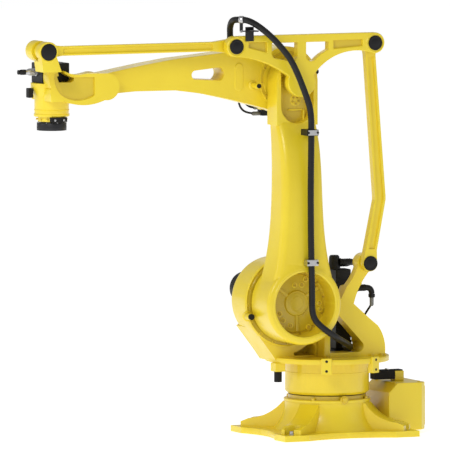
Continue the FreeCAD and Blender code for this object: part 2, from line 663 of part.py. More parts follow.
def hose_path(points):
    """Straight runs joined by tangent arcs, each as large as its runs allow."""
    edges, start = [], points[0]
    for before, corner, after in zip(points, points[1:], points[2:]):
        back, ahead = before - corner, after - corner
        half_turn = (math.pi - back.getAngle(ahead)) / 2
        run = 0.45 * min(back.Length, ahead.Length)
        back.normalize()
        ahead.normalize()
        first, last = corner + back * run, corner + ahead * run
        inward = (back + ahead).normalize()
        depth = run / math.tan(half_turn) * (1 / math.cos(half_turn) - 1)
        edges.append(Part.LineSegment(start, first).toShape())
        edges.append(Part.Arc(first, corner + inward * depth, last).toShape())
        start = last
    edges.append(Part.LineSegment(start, points[-1]).toShape())
    return Part.Wire(edges)


def make_hose(name, radius, points):
    """A round hose or cable through points chosen by hand."""
    points = [Vector(*place) for place in points]
    path = hose_path(points)
    section = Part.Wire(Part.Circle(points[0], points[1] - points[0], radius.value).toShape())
    tube = path.makePipeShell([section], True, False)
    feature = doc.addObject("Part::Feature", name)
    feature.Label = name
    feature.Shape = tube
    feature.Placement = FreeCAD.Placement()


def make_hoses():
    side, shoulder, elbow = d.hose_y.value, d.shoulder_z.value, ELBOW[1].value
    x = d.shoulder_x.value
    make_hose("hose_low", d.hose_radius, [
        (x - 310, 26, shoulder - 220), (x - 306, 100, shoulder - 220), (x - 262, 172, shoulder - 200),
        (x - 200, 236, shoulder - 176), (x - 136, 285, shoulder - 146), (x - 76, side + 5, shoulder - 108),
        (x - 24, side, shoulder - 56), (x - 24, side, shoulder)])
    make_hose("hose_arm", d.hose_radius, [
        (x - 24, side, shoulder), (x - 24, side, shoulder + 90), (x - 20, side, shoulder + 195),
        (x - 16, side, shoulder + 490), (x - 20, side, shoulder + 790), (x - 19, side, elbow - 150),
        (x - 8, side, elbow - 90), (x + 30, side, elbow)])
    make_hose("hose_high", d.hose_radius, [
        (x + 30, side, elbow), (x + 68, side, elbow + 90), (x + 128, side, elbow + 166),
        (x + 204, side - 2, elbow + 240), (x + 286, side - 12, elbow + 296), (x + 334, 240, elbow + 298),
        (x + 330, 180, elbow + 290), (x + 318, 128, elbow + 258), (x + 312, 118, elbow + 214),
        (x + 312, 118, elbow + 176)])


def make_cables():
    """The elbow motor's two cables, and the one that drops from the bracket's plug."""
    x, elbow = d.shoulder_x.value, ELBOW[1].value
    make_hose("elbow_cable", d.cable_radius, [
        (x - 35.7, -322, elbow - 178), (x + 10, -322, elbow - 178), (x + 56, -318, elbow - 162),
        (x + 80, -306, elbow - 124), (x + 98, -270, elbow - 60), (x + 124, -206, elbow - 6),
        (x + 160, -150, elbow + 14), (x + 190, -100, elbow + 20), (x + 190, -60, elbow + 20)])
    make_hose("elbow_signal_cable", d.cable_radius, [
        (x - 35.7, -306, elbow - 149), (x - 10, -306, elbow - 149), (x + 26, -302, elbow - 146),
        (x + 56, -292, elbow - 122), (x + 92, -250, elbow - 70), (x + 128, -200, elbow - 34),
        (x + 164, -150, elbow - 20), (x + 190, -100, elbow - 16), (x + 190, -60, elbow - 16)])
    make_hose("bracket_cable", d.cable_radius, [
        (-198, 62, 627.7), (-198, 62, 598), (-190, 24, 562), (-184, -24, 514), (-180, -40, 440),
        (-180, -40, d.table_high_z.value)])


# ---------------------------------------------------------------- build and write

def find_faults():
    """Every failed object, and every sub-part without a sound shape."""
    faults = [item.Name for item in doc.Objects if {"Invalid", "Error"} & set(item.State)]
    for part in sub_parts():
        if part.Shape.isNull() or not part.Shape.isValid():
            faults.append(part.Label)
        elif part.Shape.Volume < 100:
            faults.append(part.Label + " is empty")
    return faults


def sub_parts():
    kinds = ("PartDesign::Body", "Part::Feature")
    return [item for item in doc.Objects if item.TypeId in kinds]


make_base()
make_box()
make_turn_stop()
make_seal()
make_carriage()
make_shoulder_ring()
make_motors()
make_link_bracket()
make_carriage_stops()
make_lower_arm()
make_shoulder_cover()
make_hose_clamps()
make_rear_link()
make_triangle()
make_link_pins()
make_hose_bracket()
make_top_link()
make_forearm()
make_elbow_parts()
make_wrist()
make_wrist_parts()
make_flange()
make_hoses()
make_cables()
doc.recompute()

faults = find_faults()
if faults:
    raise SystemExit(f"not written, faults in: {faults}")
os.makedirs("parts", exist_ok=True)
for part in sub_parts():
    part.Shape.exportStep(f"parts/{part.Label}.step")
print(len(sub_parts()), "sub-parts written")
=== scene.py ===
"""Looks of the palletising robot arm: finishes, screws, covers, plugs, cables and the dress hose."""
import bmesh
import bpy
import json
import math
from mathutils import Matrix, Vector


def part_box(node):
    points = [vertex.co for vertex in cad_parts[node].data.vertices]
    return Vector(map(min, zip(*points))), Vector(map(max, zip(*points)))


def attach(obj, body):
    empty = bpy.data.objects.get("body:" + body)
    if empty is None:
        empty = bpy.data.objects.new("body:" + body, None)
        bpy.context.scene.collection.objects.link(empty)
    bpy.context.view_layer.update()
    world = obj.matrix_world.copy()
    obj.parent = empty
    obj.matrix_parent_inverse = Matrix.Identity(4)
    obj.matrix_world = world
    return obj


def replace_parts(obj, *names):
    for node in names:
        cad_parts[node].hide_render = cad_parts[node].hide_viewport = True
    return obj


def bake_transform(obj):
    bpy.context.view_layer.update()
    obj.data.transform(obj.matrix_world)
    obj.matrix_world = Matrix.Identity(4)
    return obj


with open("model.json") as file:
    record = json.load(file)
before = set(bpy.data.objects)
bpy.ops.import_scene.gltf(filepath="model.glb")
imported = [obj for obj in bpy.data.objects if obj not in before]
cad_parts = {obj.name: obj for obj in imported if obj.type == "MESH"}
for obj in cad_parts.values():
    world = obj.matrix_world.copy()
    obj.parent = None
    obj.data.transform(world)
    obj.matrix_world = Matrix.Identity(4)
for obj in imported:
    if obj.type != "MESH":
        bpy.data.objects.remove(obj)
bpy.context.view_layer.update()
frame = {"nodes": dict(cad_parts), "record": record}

JOINTS = {joint["name"]: Vector(joint["pos_m"]) for joint in frame["record"]["behaviour"]["joints"]}
SHOULDER = JOINTS["shoulder_swing"]
ELBOW = JOINTS["elbow_swing"]
WRIST = JOINTS["wrist_level"]
FLANGE = JOINTS["tool_turn"]
REAR_LOW = JOINTS["rear_link_swing"]
REAR_HIGH = REAR_LOW + (ELBOW - SHOULDER)
FRONT_HIGH = JOINTS["top_link_swing"]
WRIST_HIGH = FRONT_HIGH + (WRIST - ELBOW)
AXES = {"X": Vector((1, 0, 0)), "Y": Vector((0, 1, 0)), "Z": Vector((0, 0, 1))}


def low(node):
    """The lowest corner of a CAD node's box."""
    return Vector(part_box(node)[0])


def high(node):
    """The highest corner of a CAD node's box."""
    return Vector(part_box(node)[1])


# ---------------------------------------------------------------- camera, light and floor

def make_camera():
    """A long lens from the robot's front left, a little above its middle."""
    target = Vector((0.429, -0.193, 0.943))
    heading, rise, reach = math.radians(24.2), math.radians(4.5), 60.0
    level = math.cos(rise)
    away = Vector((math.sin(heading) * level, math.cos(heading) * level, math.sin(rise)))
    data = bpy.data.cameras.new("camera")
    data.lens = 1019
    data.clip_end = 200
    camera = bpy.data.objects.new("camera", data)
    camera.location = target + away * reach
    camera.rotation_euler = (-away).to_track_quat("-Z", "Y").to_euler()
    bpy.context.collection.objects.link(camera)
    bpy.context.scene.camera = camera


def add_light(name, place, size, power, aim=(0.4, 0, 0.9)):
    """A square soft light at a place, turned to its aim."""
    data = bpy.data.lights.new(name, "AREA")
    data.size, data.energy = size, power
    lamp = bpy.data.objects.new(name, data)
    lamp.location = place
    lamp.rotation_euler = (Vector(aim) - Vector(place)).to_track_quat("-Z", "Y").to_euler()
    bpy.context.collection.objects.link(lamp)


def make_world():
    """Even pale light all round, seen by the camera as plain white."""
    world = bpy.data.worlds.new("studio")
    world.use_nodes = True
    tree = world.node_tree
    soft = tree.nodes["Background"]
    soft.inputs["Strength"].default_value = 0.42
    white = tree.nodes.new("ShaderNodeBackground")
    for shader in (soft, white):
        shader.inputs["Color"].default_value = (1, 1, 1, 1)
    seen = tree.nodes.new("ShaderNodeLightPath").outputs["Is Camera Ray"]
    mix = tree.nodes.new("ShaderNodeMixShader")
    tree.links.new(seen, mix.inputs["Fac"])
    tree.links.new(soft.outputs["Background"], mix.inputs[1])
    tree.links.new(white.outputs["Background"], mix.inputs[2])
    tree.links.new(mix.outputs["Shader"], tree.nodes["World Output"].inputs["Surface"])
    bpy.context.scene.world = world


def make_studio():
    """The lights and a plain white floor just under the feet."""
    make_world()
    bpy.context.scene.view_settings.view_transform = "Standard"
    add_light("key", (5.0, 4.0, 4.4), 2.0, 125)
    add_light("fill", (-4.5, 4.0, 2.6), 3.0, 14)
    add_light("back", (-2.0, -4.5, 3.6), 3.0, 18)
    add_light("front", (5.5, -1.0, 2.6), 2.4, 28)
    bpy.ops.mesh.primitive_plane_add(size=60, location=(0, 0, -0.0005))
    floor = bpy.context.object
    floor.name = "floor"
    white = plain_material("floor_white", (0.97, 0.97, 0.97), 0.8)
    white.node_tree.nodes["Principled BSDF"].inputs["Emission Color"].default_value = (1, 1, 1, 1)
    white.node_tree.nodes["Principled BSDF"].inputs["Emission Strength"].default_value = 0.62
    floor.data.materials.append(white)


# ---------------------------------------------------------------- materials

def plain_material(name, colour, roughness, metallic=0.0):
    """A material of one colour and roughness, which the finishes below build on."""
    material = bpy.data.materials.new(name)
    material.use_nodes = True
    shader = material.node_tree.nodes["Principled BSDF"]
    shader.inputs["Base Color"].default_value = (*colour, 1)
    shader.inputs["Roughness"].default_value = roughness
    shader.inputs["Metallic"].default_value = metallic
    return material


class Graph:
    """Short calls for building a node graph on a material's Principled shader."""

    def __init__(self, material):
        self.tree = material.node_tree
        self.shader = self.tree.nodes["Principled BSDF"]
        self.place = self.add("ShaderNodeTexCoord").outputs["Object"]

    def add(self, kind, **values):
        node = self.tree.nodes.new(kind)
        for name, value in values.items():
            if hasattr(node, name):
                setattr(node, name, value)
            else:
                self.feed(node.inputs[name.replace("_", " ")], value)
        return node

    def feed(self, socket, value):
        if isinstance(value, bpy.types.NodeSocket):
            self.tree.links.new(value, socket)
        else:
            socket.default_value = value

    def noise(self, scale, detail=4.0, rough=0.55, stretch=None):
        place = self.place
        if stretch:
            mapping = self.add("ShaderNodeMapping", Vector=place, Scale=stretch)
            place = mapping.outputs["Vector"]
        node = self.add("ShaderNodeTexNoise", Vector=place, Scale=scale, Detail=detail, Roughness=rough)
        return node.outputs["Fac"]

    def ramp(self, value, stops):
        """A colour ramp of (place, colour) stops; a plain number stands for a grey."""
        node = self.add("ShaderNodeValToRGB", Fac=value)
        ramp = node.color_ramp
        while len(ramp.elements) < len(stops):
            ramp.elements.new(0.5)
        for element, (spot, colour) in zip(ramp.elements, stops):
            element.position = spot
            element.color = (*colour, 1) if isinstance(colour, tuple) else (colour, colour, colour, 1)
        return node.outputs["Color"]

    def mix(self, factor, first, second, blend="MIX"):
        node = self.add("ShaderNodeMix", data_type="RGBA", blend_type=blend)
        self.feed(node.inputs["Factor"], factor)
        self.feed(node.inputs[6], first)
        self.feed(node.inputs[7], second)
        return node.outputs[2]

    def bump(self, height, strength, distance, below=None):
        node = self.add("ShaderNodeBump", Height=height, Strength=strength, Distance=distance)
        if below is not None:
            self.feed(node.inputs["Normal"], below)
        return node.outputs["Normal"]

    def finish(self, **sockets):
        for name, value in sockets.items():
            self.feed(self.shader.inputs[name.replace("_", " ")], value)


def paint_material(name, colour, shade, coarse=1.0):
    """Glossy enamel over a cast surface: soft orange peel, faint cast lumps and slightly worn edges."""
    material = plain_material(name, colour, 0.36)
    graph = Graph(material)
    patch = graph.noise(3.2, 5.0)
    body = graph.mix(graph.ramp(patch, [(0.35, 0.0), (0.7, 1.0)]), (*shade, 1), (*colour, 1))
    dust = graph.ramp(graph.noise(38.0, 6.0, 0.7), [(0.60, 0.0), (0.82, 0.35)])
    body = graph.mix(dust, body, (*[min(1.0, part * 1.08) for part in colour], 1))
    edge = graph.add("ShaderNodeNewGeometry").outputs["Pointiness"]
    wear = graph.ramp(edge, [(0.53, 0.0), (0.60, 0.30)])
    body = graph.mix(wear, body, (*[min(1.0, part * 1.25 + 0.02) for part in colour], 1))
    gloss = graph.ramp(graph.noise(14.0, 5.0, 0.6), [(0.3, 0.28), (0.75, 0.44)])
    lumps = graph.bump(graph.noise(26.0, 3.0), 0.22 * coarse, 0.004)
    peel = graph.bump(graph.noise(420.0, 2.0), 0.12 * coarse, 0.0008, lumps)
    graph.finish(Base_Color=body, Roughness=gloss, Normal=peel)
    graph.shader.inputs["Coat Weight"].default_value = 0.25
    graph.shader.inputs["Coat Roughness"].default_value = 0.18
    return material


def plastic_material(name, colour, roughness, grain=600.0):
    """Dull plastic with a fine grain."""
    material = plain_material(name, colour, roughness)
    material.node_tree.nodes["Principled BSDF"].inputs["Specular IOR Level"].default_value = 0.28
    graph = Graph(material)
    body = graph.mix(graph.noise(9.0, 5.0), (*colour, 1), (*[part * 1.6 + 0.002 for part in colour], 1))
    gloss = graph.ramp(graph.noise(18.0, 4.0), [(0.3, roughness - 0.07), (0.7, roughness + 0.09)])
    graph.finish(Base_Color=body, Roughness=gloss, Normal=graph.bump(graph.noise(grain, 2.0), 0.18, 0.0006))
    return material


def metal_material(name, colour, roughness):
    """Bare metal with faint streaks."""
    material = plain_material(name, colour, roughness, 1.0)
    graph = Graph(material)
    streak = graph.noise(30.0, 5.0, 0.6, stretch=(1, 1, 14))
    body = graph.mix(streak, (*colour, 1), (*[part * 0.72 for part in colour], 1))
    gloss = graph.ramp(graph.noise(45.0, 4.0), [(0.3, roughness - 0.08), (0.7, roughness + 0.12)])
    graph.finish(Base_Color=body, Roughness=gloss, Normal=graph.bump(streak, 0.10, 0.0005))
    return material


def hose_material(name):
    """Black conduit with a faint dusty sheen."""
    black, dusty = (0.006, 0.006, 0.0065), (0.030, 0.029, 0.028)
    material = plain_material(name, black, 0.42)
    material.node_tree.nodes["Principled BSDF"].inputs["Specular IOR Level"].default_value = 0.32
    graph = Graph(material)
    dust = graph.ramp(graph.noise(60.0, 6.0, 0.7), [(0.50, 0.0), (0.85, 0.6)])
    body = graph.mix(dust, (*black, 1), (*dusty, 1))
    gloss = graph.ramp(graph.noise(22.0, 4.0), [(0.3, 0.34), (0.7, 0.52)])
    graph.finish(Base_Color=body, Roughness=gloss, Normal=graph.bump(graph.noise(300.0, 2.0), 0.12, 0.0006))
    return material


PAINT, PAINT_SHADE = (0.87, 0.68, 0.024), (0.82, 0.62, 0.018)

MATERIALS = {
    "yellow_paint": paint_material("yellow_paint", PAINT, PAINT_SHADE),
    "cover_paint": paint_material("cover_paint", PAINT, PAINT_SHADE, 1.5),
    "box_paint": paint_material("box_paint", PAINT, PAINT_SHADE, 0.4),
    "screw_yellow": paint_material("screw_yellow", (0.74, 0.54, 0.02), (0.62, 0.45, 0.02), 0.6),
    # The two darker yellows below are painted shade, for pocket floors, grooves, the seal and the shoulder
    # cover, where shade falls.
    "painted_shade_dark": paint_material("painted_shade_dark", (0.56, 0.41, 0.013), (0.48, 0.35, 0.011), 1.2),
    "painted_shade_mid": paint_material("painted_shade_mid", (0.66, 0.49, 0.016), (0.58, 0.43, 0.013), 1.5),
    "black_steel": metal_material("black_steel", (0.055, 0.055, 0.058), 0.42),
    "black_motor": plastic_material("black_motor", (0.006, 0.006, 0.0065), 0.46),
    "black_plastic": plastic_material("black_plastic", (0.005, 0.005, 0.0055), 0.5),
    "grey_plastic": plastic_material("grey_plastic", (0.16, 0.16, 0.155), 0.5),
    "silver_metal": metal_material("silver_metal", (0.62, 0.62, 0.63), 0.30),
    "rubber": plastic_material("rubber", (0.006, 0.006, 0.006), 0.7),
    "hose": hose_material("hose"),
}


def dress(piece, finish, body):
    """Give a new piece its finish and its body."""
    piece.data.materials.clear()
    piece.data.materials.append(MATERIALS[finish])
    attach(piece, body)
    return piece


# ---------------------------------------------------------------- mesh helpers

def keep(name, mesh_work, smooth=35):
    """Turn a bmesh into an object with smooth faces and sharp edges past an angle."""
    bmesh.ops.recalc_face_normals(mesh_work, faces=mesh_work.faces)
    mesh = bpy.data.meshes.new(name)
    mesh_work.to_mesh(mesh)
    mesh_work.free()
    piece = bpy.data.objects.new(name, mesh)
    bpy.context.collection.objects.link(piece)
    mesh.shade_smooth()
    mesh.set_sharp_from_angle(angle=math.radians(smooth))
    return piece


def turn_to(axis):
    """The rotation that takes Z onto an axis."""
    return Vector((0, 0, 1)).rotation_difference(Vector(axis)).to_matrix().to_4x4()


def add_lathe(work, profile, centre, axis, steps=32):
    """Turn (radius, height) points about an axis through centre, into a bmesh."""
    place = Matrix.Translation(centre) @ turn_to(axis)
    rings = []
    for radius, height in profile:
        if radius < 1e-6:
            rings.append([work.verts.new(place @ Vector((0, 0, height)))])
            continue
        turns = [math.tau * step / steps for step in range(steps)]
        spots = [Vector((radius * math.cos(turn), radius * math.sin(turn), height)) for turn in turns]
        rings.append([work.verts.new(place @ spot) for spot in spots])
    for first, second in zip(rings, rings[1:]):
        for step in range(steps):
            corner = (step + 1) % steps
            loop = [first[step % len(first)], first[corner % len(first)],
                    second[corner % len(second)], second[step % len(second)]]
            loop = [vert for spot, vert in enumerate(loop) if vert not in loop[:spot]]
            if len(loop) > 2:
                work.faces.new(loop)


def lathe(name, profile, centre, axis, finish, body, steps=48, smooth=35):
    """One turned piece, dressed."""
    work = bmesh.new()
    add_lathe(work, profile, Vector(centre), axis, steps)
    return dress(keep(name, work, smooth), finish, body)


def add_screw(work, centre, axis, radius, height):
    """A socket cap screw head: a chamfered cylinder with a six-sided hole."""
    edge, hole, depth = radius * 0.14, radius * 0.52, height * 0.55
    add_lathe(work, [(radius, 0), (radius, height - edge), (radius - edge, height), (hole * 1.12, height)],
              centre, axis, 18)
    add_lathe(work, [(hole * 1.12, height), (hole, height - 0.1 * depth), (hole, height - depth),
                     (0, height - depth)], centre, axis, 6)


def screws(name, centres, axis, radius, height, finish, body):
    """One piece of several equal cap screw heads."""
    work = bmesh.new()
    for centre in centres:
        add_screw(work, Vector(centre), axis, radius, height)
    return dress(keep(name, work, 30), finish, body)


def ring_places(centre, axis, radius, count, start=0.0, arc=360.0):
    """Places evenly round a circle; with a part arc the last one ends it."""
    place = Matrix.Translation(centre) @ turn_to(axis)
    share = arc / (count if arc >= 360 else max(1, count - 1))
    turns = [math.radians(start + share * step) for step in range(count)]
    return [place @ Vector((radius * math.cos(turn), radius * math.sin(turn), 0)) for turn in turns]


def add_box(work, lowest, highest):
    """Add a box between two corners to a bmesh, and give its new vertices."""
    lowest, highest = Vector(lowest), Vector(highest)
    made = bmesh.ops.create_cube(work, size=1)["verts"]
    size, half = highest - lowest, Vector((0.5, 0.5, 0.5))
    for vert in made:
        vert.co = (vert.co + half) * size + lowest
    return made


def round_edges(piece, width, steps=3, angle=30):
    """Give a new piece rounded edges where its faces meet past an angle."""
    bevel = piece.modifiers.new("rounding", "BEVEL")
    bevel.width, bevel.segments = width, steps
    bevel.limit_method, bevel.angle_limit = "ANGLE", math.radians(angle)
    bevel.harden_normals = True
    return piece


def boxes(name, pairs, finish, body, rounding=0.003):
    """One piece of several rounded boxes, each given by its lowest and highest corner."""
    work = bmesh.new()
    for lowest, highest in pairs:
        add_box(work, lowest, highest)
    return dress(round_edges(keep(name, work), rounding), finish, body)


def route(points):
    """The smooth line of a hose through its control points, as places along it."""
    curve = bpy.data.curves.new("route", "CURVE")
    curve.dimensions = "3D"
    spline = curve.splines.new("NURBS")
    spline.points.add(len(points) - 1)
    for spot, place in zip(spline.points, points):
        spot.co = (*place, 1)
    spline.order_u, spline.use_endpoint_u, spline.resolution_u = 3, True, 24
    holder = bpy.data.objects.new("route", curve)
    mesh = bpy.data.meshes.new_from_object(holder)
    line = [vert.co.copy() for vert in mesh.vertices]
    bpy.data.objects.remove(holder)
    bpy.data.curves.remove(curve)
    bpy.data.meshes.remove(mesh)
    return line


def even_steps(line, step):
    """Places at even steps along a line, its two ends included."""
    reach = [0.0]
    for first, second in zip(line, line[1:]):
        reach.append(reach[-1] + (second - first).length)
    count = max(2, round(reach[-1] / step))
    places, spot = [], 0
    for number in range(count + 1):
        want = reach[-1] * number / count
        while spot < len(line) - 2 and reach[spot + 1] < want:
            spot += 1
        share = (want - reach[spot]) / max(1e-9, reach[spot + 1] - reach[spot])
        places.append(line[spot].lerp(line[spot + 1], min(1.0, max(0.0, share))))
    return places


def sweep(name, points, radius, finish, rib=0.0, pitch=0.008, sides=20):
    """A round tube along a hose's route, ribbed like conduit where rib is over 0."""
    places = even_steps(route(points), pitch / 2 if rib else pitch)
    work = bmesh.new()
    rings, side = [], None
    for number, place in enumerate(places):
        ahead = places[min(number + 1, len(places) - 1)] - places[max(number - 1, 0)]
        ahead.normalize()
        side = ahead.orthogonal() if side is None else side - ahead * side.dot(ahead)
        side.normalize()
        across = ahead.cross(side)
        size = radius - (rib if number % 2 else 0.0)
        rings.append([work.verts.new(place + (side * math.cos(turn) + across * math.sin(turn)) * size)
                      for turn in (math.tau * spot / sides for spot in range(sides))])
    for first, second in zip(rings, rings[1:]):
        for spot in range(sides):
            after = (spot + 1) % sides
            work.faces.new([first[spot], first[after], second[after], second[spot]])
    work.faces.new(rings[0])
    work.faces.new(rings[-1])
    piece = keep(name, work, 60)
    piece.data.materials.append(MATERIALS[finish])
    return piece


def soften(node, width, finish, angle=28):
    """Give a CAD casting its finish and rounded edges, leaving its own mesh as it is."""
    piece = frame["nodes"][node]
    piece.data.materials.clear()
    piece.data.materials.append(MATERIALS[finish])
    if not width:
        return
    weld = piece.modifiers.new("weld", "WELD")
    weld.merge_threshold = 0.00002
    flat = piece.modifiers.new("flat faces", "DECIMATE")
    flat.decimate_type, flat.angle_limit = "DISSOLVE", math.radians(0.6)
    bevel = piece.modifiers.new("rounding", "BEVEL")
    bevel.width, bevel.segments, bevel.use_clamp_overlap = width, 3, True
    bevel.limit_method, bevel.angle_limit = "ANGLE", math.radians(angle)
    bevel.harden_normals = True


# ---------------------------------------------------------------- hoses and cables

def near_point(pivot, ahead, left, up):
    """A place given in millimetres: ahead of a pivot, left of the middle plane and above the pivot."""
    return Vector((pivot.x + ahead / 1000, left / 1000, pivot.z + up / 1000))


def points_from(pivot, places):
    """Route points, each given as near_point takes them."""
    return [near_point(pivot, *place) for place in places]


HOSE_RADIUS, HOSE_RIB = 0.015, 0.0009
CABLE_RADIUS = 0.005


def make_hoses():
    """The dress hose in three runs, which meet at the shoulder and elbow axes; gives the top run's points."""
    side = 287
    low_run = points_from(SHOULDER, [
        (-310, 26, -220), (-306, 100, -220), (-262, 172, -200), (-200, 236, -176), (-136, 285, -146),
        (-76, side + 5, -108), (-24, side, -56), (-24, side, 0)])
    arm_run = points_from(SHOULDER, [
        (-24, side, 0), (-24, side, 90), (-20, side, 195), (-16, side, 490), (-20, side, 790),
        (-19, side, 870), (-8, side, 930), (30, side, 1020)])
    high_run = points_from(ELBOW, [
        (30, side, 0), (68, side, 90), (128, side, 166), (204, side - 2, 240), (286, side - 12, 296),
        (334, 240, 298), (330, 180, 290), (318, 128, 258), (312, 118, 214), (312, 118, 176)])
    piece = sweep("dress_hose_low", low_run, HOSE_RADIUS, "hose", HOSE_RIB)
    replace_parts(piece, "hose_low")
    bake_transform(piece)
    piece = sweep("dress_hose_arm", arm_run, HOSE_RADIUS, "hose", HOSE_RIB)
    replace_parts(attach(piece, "lower_arm"), "hose_arm")
    piece = sweep("dress_hose_high", high_run, HOSE_RADIUS, "hose", HOSE_RIB)
    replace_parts(piece, "hose_high")
    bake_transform(piece)
    return high_run


def make_cables():
    """The three leads, each with a sleeve at its plug and a gland at its far end."""
    elbow_run = points_from(ELBOW, [
        (-35.7, -322, -178), (10, -322, -178), (56, -318, -162), (80, -306, -124), (98, -270, -60),
        (124, -206, -6), (160, -150, 14), (190, -100, 20), (190, -60, 20)])
    signal_run = points_from(ELBOW, [
        (-35.7, -306, -149), (-10, -306, -149), (26, -302, -146), (56, -292, -122), (92, -250, -70),
        (128, -200, -34), (164, -150, -20), (190, -100, -16), (190, -60, -16)])
    table = high("carriage_casting").z
    bracket_run = [Vector(place) for place in (
        (-0.198, 0.062, 0.6277), (-0.198, 0.062, 0.598), (-0.190, 0.024, 0.562), (-0.184, -0.024, 0.514),
        (-0.180, -0.040, 0.440), (-0.180, -0.040, low("turn_motor").z))]
    for name, run, body, node in (("elbow_power_lead", elbow_run, "forearm", "elbow_cable"),
                                  ("elbow_signal_lead", signal_run, "forearm", "elbow_signal_cable"),
                                  ("bracket_lead", bracket_run, "carriage", "bracket_cable")):
        piece = sweep(name, run, CABLE_RADIUS, "hose", sides=12)
        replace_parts(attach(piece, body), node)
    sleeve = [(0.0085, 0), (0.0095, 0.003), (0.0095, 0.034), (0.006, 0.040)]
    lathe("elbow_lead_sleeve", sleeve, elbow_run[0], (1, 0, 0), "grey_plastic", "forearm")
    lathe("elbow_signal_sleeve", sleeve, signal_run[0], (1, 0, 0), "grey_plastic", "forearm")
    lathe("bracket_lead_sleeve", sleeve, bracket_run[0] + Vector((0, 0, 0.002)), (0, 0, -1), "grey_plastic",
          "carriage")
    gland = [(0.016, 0), (0.016, 0.008), (0.012, 0.010), (0.012, 0.018), (0.006, 0.020)]
    for name, run, axis, body in (("elbow_power_gland", elbow_run, (0, -1, 0), "forearm"),
                                  ("elbow_signal_gland", signal_run, (0, -1, 0), "forearm"),
                                  ("bracket_gland", bracket_run, (0, 0, 1), "carriage")):
        lathe(name, gland, run[-1], axis, "black_plastic", body, steps=6, smooth=20)


def make_hose_bands(high_run):
    """Straps with screws on the two saddles, and the band and arm that hold the hose's top run."""
    band = [(0.0152, -0.010), (0.0172, -0.010), (0.0180, -0.008), (0.0180, 0.008), (0.0172, 0.010),
            (0.0152, 0.010)]
    for name, node in (("band_low", "hose_clamp_low"), ("band_high", "hose_clamp_high")):
        middle = (low(node) + high(node)) / 2
        face = high(node).y
        work = bmesh.new()
        add_box(work, (middle.x - 0.024, face - 0.001, low(node).z + 0.002),
                (middle.x + 0.024, face + 0.0025, high(node).z - 0.002))
        dress(round_edges(keep(name + "_strap", work), 0.001), "silver_metal", "lower_arm")
        places = [(middle.x + way, face + 0.0025, middle.z) for way in (-0.0235, 0.0235)]
        screws(name + "_screws", places, (0, 1, 0), 0.0052, 0.0045, "black_plastic", "lower_arm")
    line = even_steps(route(high_run), 0.004)
    held = round(len(line) * 0.66)
    place = line[held]
    lathe("band_top", band, place, line[held + 1] - line[held - 1], "silver_metal", "triangle")
    shelf = high("hose_bracket")
    stem = Vector((place.x + 0.004, place.y, shelf.z - 0.018))
    screws("band_top_screw", [stem], (0, 1, 0), 0.006, 0.010, "silver_metal", "triangle")
    arm = [(Vector((shelf.x - 0.006, stem.y - 0.006, stem.z - 0.003)), stem + Vector((0.004, 0.0, 0.003))),
           (Vector((place.x - 0.008, stem.y - 0.006, stem.z)),
            Vector((place.x + 0.008, stem.y - 0.001, place.z)))]
    boxes("band_top_arm", arm, "black_steel", "triangle", 0.001)


# ---------------------------------------------------------------- base

def make_base_details():
    """Floor bolts with washers, and the ring screws, plug and lip at the top of the casting."""
    floor_z = low("base_casting").z
    foot_top = 0.028
    mounts = frame["record"]["mounts"]
    pattern = [mount for mount in mounts if mount["name"] == "floor_bolts"][0]
    middle = Vector(pattern["pos_m"])
    span_x, span_y = pattern["dims"]["spacing_x_mm"] / 2000, pattern["dims"]["spacing_y_mm"] / 2000
    feet = [Vector((middle.x + span_x * way, span_y * hand, floor_z + foot_top))
            for way in (-1, 1) for hand in (-1, 1)]
    washer = [(0.0115, 0.0002), (0.0215, 0.0002), (0.0215, 0.0034), (0.0205, 0.0042), (0.0115, 0.0042)]
    head = [(0.0165, 0.0042), (0.0173, 0.006), (0.0173, 0.015), (0.015, 0.0168), (0, 0.0168)]
    washers, heads = bmesh.new(), bmesh.new()
    for foot in feet:
        add_lathe(washers, washer, foot, (0, 0, 1), 40)
        add_lathe(heads, head, foot, (0, 0, 1), 6)
    dress(keep("floor_bolt_washers", washers, 30), "silver_metal", "base")
    dress(keep("floor_bolt_heads", heads, 20), "silver_metal", "base")
    seal_z = low("bearing_seal").z
    places = ring_places((0, 0, seal_z), (0, 0, 1), 0.189, 4, start=46)
    screws("base_ring_screws", places, (0, 0, 1), 0.0085, 0.011, "screw_yellow", "base")
    plug = [(0.020, 0), (0.020, 0.004), (0.012, 0.005), (0.012, 0.013), (0.010, 0.015), (0, 0.015)]
    lathe("drain_plug", plug, (0.004, 0.1985, seal_z + 0.002), (0, 1, 0.05), "screw_yellow", "base", steps=24)
    lip = [(0.186, 0.0), (0.198, -0.0005), (0.2005, -0.003), (0.2005, -0.012), (0.198, -0.014)]
    lathe("base_lip", lip, (0, 0, seal_z), (0, 0, 1), "yellow_paint", "base", steps=96)


